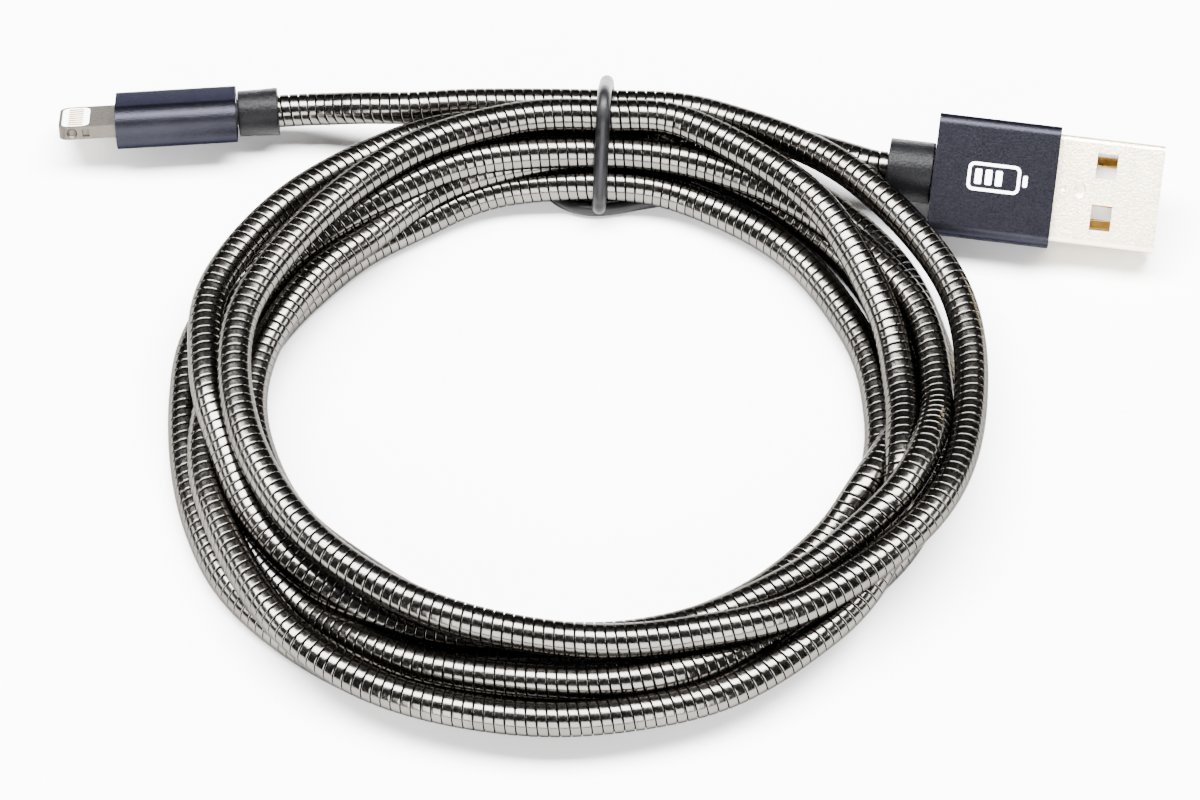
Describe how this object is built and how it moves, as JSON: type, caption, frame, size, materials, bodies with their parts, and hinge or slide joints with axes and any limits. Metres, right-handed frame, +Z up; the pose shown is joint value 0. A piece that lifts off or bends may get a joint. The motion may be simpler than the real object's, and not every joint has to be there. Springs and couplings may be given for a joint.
{
  "type": "charging cable",
  "caption": "Coiled phone charging cable with a steel spiral-armoured cord, a USB-A plug, a flat phone plug and a black rubber tie.",
  "frame": {"origin": "on the table, under the middle of the box around the two plugs and the tie, without the cord", "axes": "+X from the phone plug to the USB plug, +Y away from the viewer, +Z up from the table"},
  "size_m": [0.1256, 0.0862, 0.0139],
  "materials": {
    "armour": "polished black-nickel strip wound in a spiral",
    "tie_rubber": "satin",
    "anodised_body": "fine-blasted dark anodised",
    "nickel": "satin nickel plate",
    "tip_steel": "satin nickel plate",
    "gold_contact": "gold plate",
    "white_plastic": "smooth",
    "moulded_plastic": "grained",
    "inner_jacket": "smooth",
    "circuit_board": "solder mask",
    "chip_plastic": "moulded",
    "crimp_metal": "tinned",
    "wire_red": "smooth",
    "wire_white": "smooth",
    "wire_green": "smooth",
    "wire_black": "smooth"
  },
  "bodies": {
    "cable": {"cable_coil": "armour", "cable_phone_lead": "armour", "cable_usb_lead": "armour", "phone_board": "circuit_board", "phone_carrier": "white_plastic", "phone_chip": "chip_plastic", "phone_collar": "moulded_plastic", "phone_contact_lower_1": "gold_contact", "phone_contact_lower_2": "gold_contact", "phone_contact_lower_3": "gold_contact", "phone_contact_lower_4": "gold_contact", "phone_contact_lower_5": "gold_contact", "phone_contact_lower_6": "gold_contact", "phone_contact_lower_7": "gold_contact", "phone_contact_lower_8": "gold_contact", "phone_contact_upper_1": "gold_contact", "phone_contact_upper_2": "gold_contact", "phone_contact_upper_3": "gold_contact", "phone_contact_upper_4": "gold_contact", "phone_contact_upper_5": "gold_contact", "phone_contact_upper_6": "gold_contact", "phone_contact_upper_7": "gold_contact", "phone_contact_upper_8": "gold_contact", "phone_crimp": "crimp_metal", "phone_front_insert": "moulded_plastic", "phone_housing": "anodised_body", "phone_jacket_end": "inner_jacket", "phone_rear_insert": "moulded_plastic", "phone_tip": "tip_steel", "phone_wire_data_minus": "wire_white", "phone_wire_data_plus": "wire_green", "phone_wire_ground": "wire_black", "phone_wire_power": "wire_red", "usb_board": "circuit_board", "usb_collar": "moulded_plastic", "usb_contact_data_minus": "gold_contact", "usb_contact_data_plus": "gold_contact", "usb_contact_ground": "gold_contact", "usb_contact_power": "gold_contact", "usb_crimp": "crimp_metal", "usb_front_insert": "moulded_plastic", "usb_housing": "anodised_body", "usb_jacket_end": "inner_jacket", "usb_rear_insert": "moulded_plastic", "usb_shell": "nickel", "usb_tongue": "white_plastic", "usb_wire_data_minus": "wire_white", "usb_wire_data_plus": "wire_green", "usb_wire_ground": "wire_black", "usb_wire_power": "wire_red"},
    "tie": {"tie": "tie_rubber"}
  },
  "joints": [
    {"name": "tie_slide", "type": "hinge", "parent": "cable", "child": "tie", "pos_m": [-0.00405, -0.03906, 0], "axis": [0, 0, 1], "range_deg": [-5, 5]}
  ]
}
